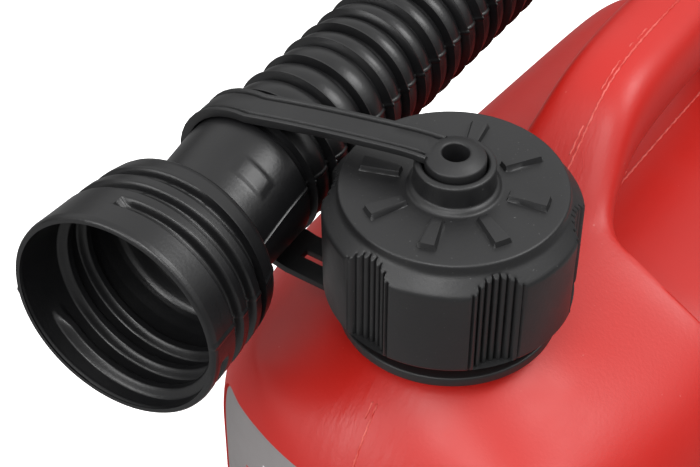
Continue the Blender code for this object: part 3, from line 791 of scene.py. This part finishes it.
def spout_radius(x):
    """The outer radius, without the thread grooves, the raised pad and the parting line."""
    if x < COLLAR_PROFILE[-1][0]:
        return float(np.interp(x, *zip(*COLLAR_PROFILE)))
    if x < COLLAR_PROFILE[-1][0] + 1.0:
        return SPOUT_NECK_R + (COLLAR_PROFILE[-1][1] - SPOUT_NECK_R) * (1.0 - (x - COLLAR_PROFILE[-1][0]))
    if x < RING_XS[0] - 3.0:
        return SPOUT_NECK_R + 0.5 * float(smoothstep(-30.0, RING_XS[0] - 5.0, x))
    if x < RING_XS[0]:
        return 17.6 + 1.8 * (1.0 - float(smoothstep(RING_XS[0] - 3.0, RING_XS[0] - 1.2, x)))
    if x < BELLOWS_END:
        along, length = corrugation(x)
        slim = 0.5 * float(smoothstep(0.0, 25.0, x))
        rib = 1.5 * float(smoothstep(0.0, 0.35, along) * (1 - smoothstep(1.0, 1.5, along)))
        on_band = 1.4 < along < length - 1.5
        band = 0.75 * math.sin(math.pi * (along - 1.4) / (length - 2.9)) if on_band else 0.0
        groove = 1.0 * float(smoothstep(length - 1.7, length - 1.1, along))
        return BELLOWS_R + 0.3 - slim + max(rib, band) - groove
    t = (x - BELLOWS_END) / (NOZZLE_END - BELLOWS_END)
    return 14.9 + 2.4 * (1.0 - float(smoothstep(0.0, 0.10, t))) - 4.3 * t


def parting_angle(x):
    return math.radians(163.0 + 9.0 * (1.0 - float(smoothstep(-50.0, -10.0, x))))


def spout_columns():
    """Angles from the parting line, closer together at it."""
    even = round_angles(120)
    near = np.radians([-2.6, -1.7, -0.9, 0.9, 1.7, 2.6])
    return np.array(sorted(set(np.round(np.concatenate([even, near % (2 * math.pi), near + math.pi]), 6))))


def spout_row(x, inner):
    """One ring of points round the spout."""
    y0, z0 = spout_axis(x)
    base = spout_radius(x)
    yaw, pitch = 0.042 * collar_share(x), 0.033 * collar_share(x)
    points = []
    for turn in spout_columns():
        angle = turn + parting_angle(x)
        radius = base
        if x < RIM_START_X:
            for start_angle, start_x, length in GROOVES:
                lead = (angle - start_angle) % (2 * math.pi) / (2 * math.pi)
                for turns in (lead, lead + 1, lead + 2):
                    middle = start_x + GROOVE_PITCH * turns
                    ends = smoothstep(0.0, 0.012, turns) * (1 - smoothstep(length - 0.04, length, turns))
                    radius -= 2.3 * float(ends * (1 - smoothstep(0.7, 2.1, abs(x - middle))))
        if not inner:
            aside = abs((angle - PAD_TURN + math.pi) % (2 * math.pi) - math.pi) * base
            inside = float(smoothstep(0.0, 1.0, min(PAD_HALF_X - abs(x - PAD_X), PAD_HALF_Y - aside)))
            radius += 0.35 * inside
        if not inner:
            off = min(turn % math.pi, math.pi - turn % math.pi) * base
            radius += 0.38 * (1 - float(smoothstep(0.25, 0.75, off)))
        else:
            radius -= SPOUT_WALL - 0.5 * (1 - float(smoothstep(MOUTH_X, MOUTH_X + 1.5, x)))
        aside, up = radius * math.cos(angle), radius * math.sin(angle)
        points.append((x + up * pitch - aside * yaw, y0 + aside, z0 + up))
    return points


def spout_piece(name, start, end, black):
    """A length of the spout with its wall, closed at both ends by its own thickness."""
    places = [start]
    while places[-1] < end:
        x = places[-1]
        in_bellows = RING_XS[0] - 3.5 < x < BELLOWS_END
        step = 0.22 if x < RIM_END_X + 3 else 0.45 if in_bellows else 0.6 if x < PAD_X + 6 else 1.5
        places.append(min(end, x + step))
    outer = [spout_row(x, False) for x in places]
    inner = [spout_row(x, True) for x in places[::-1]]
    spout = hollow_ring(name, np.array(outer + inner))
    spout.data.set_sharp_from_angle(angle=math.radians(42))
    finished(spout, black, "spout_black")
    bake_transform(spout)
    return spout


def make_spout(black):
    middle = (HINGE_X + REAR_HINGE_X) / 2
    front = spout_piece("spout_front_length", MOUTH_X, middle - 0.02, black)
    rear = spout_piece("spout_rear_length", middle + 0.02, NOZZLE_END, black)
    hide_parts("spout_collar", "spout_bellows")
    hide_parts("spout_nozzle")


# ---------------------------------------------------------------- label

LABEL_TOP, LABEL_LOW = -35.3, -148.0
LABEL_HALF_TURN = 48.5
LABEL_CORNER = 7.0
LABEL_CENTRE_X = 20.0
LABEL_RADIUS = 55.0
RECESS_DEPTH, RECESS_MARGIN = 0.9, 0.8


def surface_point(tank, turn, z):
    """Where a level ray from outside meets the front of the tank, and the normal there."""
    out = Vector((-math.cos(math.radians(turn)), math.sin(math.radians(turn)), 0.0))
    _, location, normal, _ = tank.ray_cast(place(LABEL_CENTRE_X, 0.0, z) + out * 0.2, -out)
    return location, normal


def wrapped_panel(name, tank, turns, heights, corner, lift, thickness):
    """A closed sheet that follows the tank's front between two turns about the vertical and two heights."""
    low, high = heights
    middle, half = sum(turns) / 2, (turns[1] - turns[0]) / 2
    rounding = [corner * (1 - math.cos(math.radians(a))) for a in range(0, 91, 15)] if corner else [0.0]
    count = max(1, round((high - low - 2 * rounding[-1]) / 3.0))
    straight = np.linspace(low + rounding[-1], high - rounding[-1], count + 1)[1:-1]
    levels = [low + r for r in rounding] + list(straight) + [high - r for r in reversed(rounding)]
    columns = max(2, round(2 * half / 1.6))
    rows = []
    for z in levels:
        inset = min(z - low, high - z)
        cut = corner - math.sqrt(max(0.0, corner**2 - (corner - inset) ** 2)) if inset < corner else 0.0
        reach = half - math.degrees(cut / LABEL_RADIUS)
        row = []
        for share in np.linspace(-1, 1, columns + 1):
            location, normal = surface_point(tank, middle + reach * share, z)
            row.append((np.array(location - NECK) / MM, np.array(normal)))
        rows.append(row)
    outer = [[point + normal * lift for point, normal in row] for row in rows]
    inner = [[point + normal * (lift - thickness) for point, normal in row] for row in rows]
    size = columns + 1
    faces = grid_faces(len(rows), size, False, False)
    total = len(rows) * size
    faces += [tuple(index + total for index in reversed(face)) for face in faces]
    rim = [column for column in range(size)] + [row * size + size - 1 for row in range(1, len(rows))]
    rim += [(len(rows) - 1) * size + column for column in range(size - 2, -1, -1)]
    rim += [row * size for row in range(len(rows) - 2, 0, -1)]
    for a, b in zip(rim, rim[1:] + rim[:1]):
        faces.append((a, b, b + total, a + total))
    panel = object_from(name, np.array(outer + inner).reshape(-1, 3), faces)
    panel.data.set_sharp_from_angle(angle=math.radians(40))
    return panel


def cut_recess(tank):
    margin = math.degrees(RECESS_MARGIN / LABEL_RADIUS)
    turns = (-LABEL_HALF_TURN - margin, LABEL_HALF_TURN + margin)
    heights = (LABEL_LOW - RECESS_MARGIN, LABEL_TOP + RECESS_MARGIN)
    corner = LABEL_CORNER + RECESS_MARGIN
    cutter = wrapped_panel("recess", tank, turns, heights, corner, 1.0, 1.0 + RECESS_DEPTH)
    boolean(tank, "DIFFERENCE", cutter)


def make_label(tank, grey, white, crimson):
    """The printed film. Its print is plain blocks, a rule and bars, which stand for no mark."""
    label = wrapped_panel("label_film", tank, (-LABEL_HALF_TURN, LABEL_HALF_TURN), (LABEL_LOW, LABEL_TOP),
                          LABEL_CORNER, 0.25, 0.2)
    finished(label, grey, "label_grey", "front_label")
    marks = []
    turn = -34.0
    for width in (3.6, 2.2, 4.2, 1.6, 3.2, 2.6, 4.0, 1.8, 3.4, 2.4, 3.8, 2.0, 4.4, 2.8):
        marks.append((white, (turn, turn + width), (-47.5, -43.9)))
        turn += width + 1.4
    marks.append((crimson, (-34.0, 32.0), (-51.2, -50.4)))
    marks.append((white, (-34.0, -14.0), (-84.0, -56.0)))
    marks.append((white, (-8.0, 32.0), (-66.0, -62.0)))
    marks.append((white, (-8.0, 20.0), (-76.0, -72.0)))
    marks.append((crimson, (-34.0, 34.0), (-118.0, -96.0)))
    marks.append((white, (-34.0, 10.0), (-130.0, -127.0)))
    pieces = [label]
    for index, (ink, turns, heights) in enumerate(marks):
        mark = wrapped_panel(f"label_mark_{index + 1}", label, turns, heights, 0.0, 0.03, 0.05)
        pieces.append(finished(mark, ink, "label_grey"))
    for piece in pieces:
        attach(piece, "tank")


# ---------------------------------------------------------------- parting line

def middle_outlines(form):
    """The form's section at the middle plane, as loops of points and outward normals in the X-Z plane."""
    bm = bmesh.new()
    bm.from_mesh(form.data)
    links = {}
    for edge in bm.edges:
        a, b = edge.verts
        if abs(a.co.y) < 1e-6 and abs(b.co.y) < 1e-6:
            links.setdefault(a.index, []).append(b.index)
            links.setdefault(b.index, []).append(a.index)
    bm.verts.ensure_lookup_table()
    loops = []
    while links:
        start = next(iter(links))
        loop, current = [start], start
        while True:
            following = [i for i in links.get(current, []) if i not in loop[-2:] or i == start]
            following = [i for i in following if i == start and len(loop) > 2 or i not in loop]
            if not following or following[0] == start:
                break
            current = following[0]
            loop.append(current)
        for index in loop:
            links.pop(index)
        loops.append([(Vector(bm.verts[i].co), Vector(bm.verts[i].normal)) for i in loop])
    bm.free()
    return loops


FLASH_RISE, FLASH_HALF = 0.30, 0.42
TORN_RISE, TORN_HALF = 0.28, 0.34
# Where a torn second strand runs beside the parting line: its ends along X, and how far aside it lies.
TORN_STRANDS = ((62.0, 69.0, 1.3), (77.0, 88.5, 1.1), (94.0, 97.0, 1.5), (98.5, 105.0, 1.2),
                (106.0, 109.0, 1.6), (-34.0, -26.0, 1.4))


def flash_y(x):
    """The parting line wanders a little off the middle plane."""
    return 2.0 - 4.8 * float(smoothstep(-20.0, 70.0, x))


def flash_strand(name, tank, path, aside, rise, half):
    """A thin uneven ridge along a path on the tank."""
    rows = []
    run = 0.0
    for index, (point, normal) in enumerate(path):
        if index:
            run += (point - path[index - 1][0]).length / MM
        x = (point.x - NECK.x) / MM
        wobble = 0.10 * math.sin(run * 1.9) + 0.07 * math.sin(run * 4.3 + 1.0)
        uneven = 1.0 + 0.35 * math.sin(run * 2.7) * math.sin(run * 0.61 + 0.7)
        end = min(index, len(path) - 1 - index) / 2.0
        height = rise * uneven * min(1.0, 0.15 + end)
        start = point + Vector((0.0, flash_y(x) + aside + wobble, 0.0)) * MM + normal * 0.004
        _, location, _, _ = tank.ray_cast(start, -normal)
        base = (location - NECK) / MM
        section = ((-half, -0.3), (-0.45 * half, height), (0.45 * half, height), (half, -0.3))
        rows.append([tuple(base + Vector((0.0, dy, 0.0)) + normal * dn) for dy, dn in section])
    grid = np.array(rows)
    faces = grid_faces(len(rows), 4, False, True)
    faces += [(3, 2, 1, 0), tuple((len(rows) - 1) * 4 + column for column in range(4))]
    return object_from(name, grid.reshape(-1, 3), faces)


def resampled(path, step):
    """The same path with points at an even spacing in millimetres."""
    out = [path[0]]
    for (a, normal_a), (b, normal_b) in zip(path, path[1:]):
        count = max(1, round((b - a).length / MM / step))
        for index in range(1, count + 1):
            t = index / count
            out.append((a.lerp(b, t), normal_a.lerp(normal_b, t).normalized()))
    return out


def make_flash(tank, outlines, red):
    """The parting line: a fine ridge over the can, with torn second strands beside it in places."""
    pieces = []
    clear = RECESS_MARGIN + 0.5
    for loop in outlines:
        keep = []
        for point, _ in loop:
            x, z = (point.x - NECK.x) / MM, (point.z - NECK.z) / MM
            under_strap = abs(x) < RING_OUT_R + 1.0 and z > -12.0
            under_label = x < 0.0 and LABEL_LOW - clear < z < LABEL_TOP + clear
            keep.append(not (z < BASE_Z + 6.0 or under_strap or under_label))
        first = keep.index(False) if False in keep else 0
        ordered = loop[first:] + loop[:first] + loop[first:first + 1]
        keep = keep[first:] + keep[:first] + keep[first:first + 1]
        run = []
        for item, kept in zip(ordered, keep):
            if kept:
                run.append(item)
                continue
            if len(run) > 3:
                pieces.append(resampled(run, 0.8))
            run = []
        if len(run) > 3:
            pieces.append(resampled(run, 0.8))
    strands = [(path, 0.0, FLASH_RISE, FLASH_HALF) for path in pieces]
    for path in pieces:
        for low, high, aside in TORN_STRANDS:
            part = [item for item in path if low < (item[0].x - NECK.x) / MM < high and item[1].z > 0.3]
            if len(part) > 3:
                strands.append((part, aside, TORN_RISE, TORN_HALF))
    for index, (path, aside, rise, half) in enumerate(strands):
        strand = flash_strand(f"flash_{index + 1}", tank, path, aside, rise, half)
        finished(strand, red, "tank_red")
        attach(strand, "tank")


# ---------------------------------------------------------------- setting

CAMERA_AZIMUTH, CAMERA_ELEVATION = math.radians(-56.0), math.radians(43.4)
NECK_DEPTH, NECK_ASIDE, NECK_BELOW = 473.0, 25.7, 18.7
LENS = 92.57


def make_camera():
    back = Vector((math.sin(CAMERA_AZIMUTH) * math.cos(CAMERA_ELEVATION),
                   -math.cos(CAMERA_AZIMUTH) * math.cos(CAMERA_ELEVATION), math.sin(CAMERA_ELEVATION)))
    right = Vector((math.cos(CAMERA_AZIMUTH), math.sin(CAMERA_AZIMUTH), 0.0))
    up = back.cross(right)
    camera = bpy.data.objects.new("camera", bpy.data.cameras.new("camera"))
    camera.data.sensor_width = 36.0
    camera.data.lens = LENS
    camera.data.clip_start = 0.01
    turn = Matrix((right, up, back)).transposed().to_4x4()
    turn.translation = NECK + (NECK_DEPTH * back - NECK_ASIDE * right + NECK_BELOW * up) * MM
    camera.matrix_world = turn
    bpy.context.scene.collection.objects.link(camera)
    bpy.context.scene.camera = camera


def area_light(name, location, target, size, power):
    light = bpy.data.lights.new(name, "AREA")
    light.shape = "RECTANGLE"
    light.size, light.size_y = size
    light.energy = power
    obj = bpy.data.objects.new(name, light)
    obj.location = location
    obj.rotation_euler = (Vector(target) - Vector(location)).to_track_quat("-Z", "Y").to_euler()
    bpy.context.scene.collection.objects.link(obj)


def make_setting():
    n = Nodes("floor_white")
    colour = n.mix(n.noise(3.0, 2.0), (0.80, 0.80, 0.80), (0.82, 0.82, 0.82))
    # The floor looks white, but what it reflects onto the can is dim, as from a dark room beyond the sweep.
    seen = n.tree.nodes.new("ShaderNodeLightPath").outputs["Is Camera Ray"]
    colour = n.mix(seen, (0.22, 0.22, 0.22), colour)
    # Painted light: for the camera alone the floor also glows, weakly in front of the can and strongly
    # behind it, so the backdrop looks white.
    depth = n.tree.nodes.new("ShaderNodeVectorMath")
    depth.operation = "DOT_PRODUCT"
    depth.inputs[1].default_value = (-math.sin(CAMERA_AZIMUTH), math.cos(CAMERA_AZIMUTH), 0.0)
    n.link(n.place, depth.inputs[0])
    glow = n.math("MULTIPLY", n.ramp(depth.outputs["Value"], -0.25, 0.15, 0.25, 0.9), seen)
    n.link(glow, n.shader.inputs["Emission Strength"])
    n.shader.inputs["Emission Color"].default_value = (1.0, 1.0, 1.0, 1.0)
    roughness = n.ramp(n.noise(8.0, 2.0), 0.3, 0.7, 0.6, 0.7)
    n.finish(colour, roughness, n.bump(n.noise(200.0, 2.0), 0.05, 0.0002))
    bpy.ops.mesh.primitive_plane_add(size=12.0, location=(0.0, 0.0, -0.0005))
    floor = bpy.context.object
    floor.name = "floor"
    floor.data.materials.append(n.material)
    floor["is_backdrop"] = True
    world = bpy.data.worlds.new("studio")
    bpy.context.scene.world = world
    world.use_nodes = True
    nodes, links = world.node_tree.nodes, world.node_tree.links
    light_path = nodes.new("ShaderNodeLightPath")
    direction = nodes.new("ShaderNodeSeparateXYZ")
    links.new(nodes.new("ShaderNodeTexCoord").outputs["Generated"], direction.inputs["Vector"])
    sweep = nodes.new("ShaderNodeMapRange")
    sweep.inputs["From Min"].default_value = 0.05
    sweep.inputs["From Max"].default_value = 0.45
    sweep.inputs["To Min"].default_value = 0.08
    sweep.inputs["To Max"].default_value = 1.0
    links.new(direction.outputs["Z"], sweep.inputs["Value"])
    strength = nodes.new("ShaderNodeMath")
    strength.operation = "MAXIMUM"
    links.new(light_path.outputs["Is Camera Ray"], strength.inputs[0])
    links.new(sweep.outputs["Result"], strength.inputs[1])
    links.new(strength.outputs["Value"], nodes["Background"].inputs["Strength"])
    nodes["Background"].inputs["Color"].default_value = (1.0, 1.0, 1.0, 1.0)
    middle = (NECK.x + 0.05, 0.0, NECK.z)
    area_light("right", (0.30, -0.65, 1.30), middle, (0.6, 0.6), 9.0)
    area_light("left", (-0.80, -0.20, 1.15), middle, (0.5, 0.5), 6.0)
    area_light("low_left", (-1.10, 0.45, 0.55), middle, (0.5, 0.7), 5.0)
    bpy.context.scene.view_settings.view_transform = "Standard"


red = red_plastic()
cap_black = black_plastic("cap_black", (0.006, 0.006, 0.0065), (0.010, 0.010, 0.0105), 0.40, 0.50, dust=0.2)
strap_black = black_plastic("strap_black", (0.006, 0.006, 0.0065), (0.010, 0.010, 0.0105), 0.44, 0.52)
spout_black = black_plastic("spout_black", (0.004, 0.004, 0.0045), (0.006, 0.006, 0.0065), 0.30, 0.38)
seal_rubber = black_plastic("seal_rubber", (0.10, 0.10, 0.10), (0.13, 0.13, 0.13), 0.6, 0.7)
tank_shell, outlines = make_tank(red)
make_flash(tank_shell, outlines, flash_plastic())
grey = label_film()
white, crimson = print_ink("label_white", (0.62, 0.62, 0.64)), print_ink("label_red", (0.45, 0.02, 0.02))
make_label(tank_shell, grey, white, crimson)
make_cap(cap_black)
make_seal(seal_rubber)
make_strap(strap_black)
make_spout(spout_black)
make_camera()
make_setting()
boxes = {"cad": cad_box, "visual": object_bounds()}
{name: [list(corner) for corner in box] for name, box in boxes.items()}
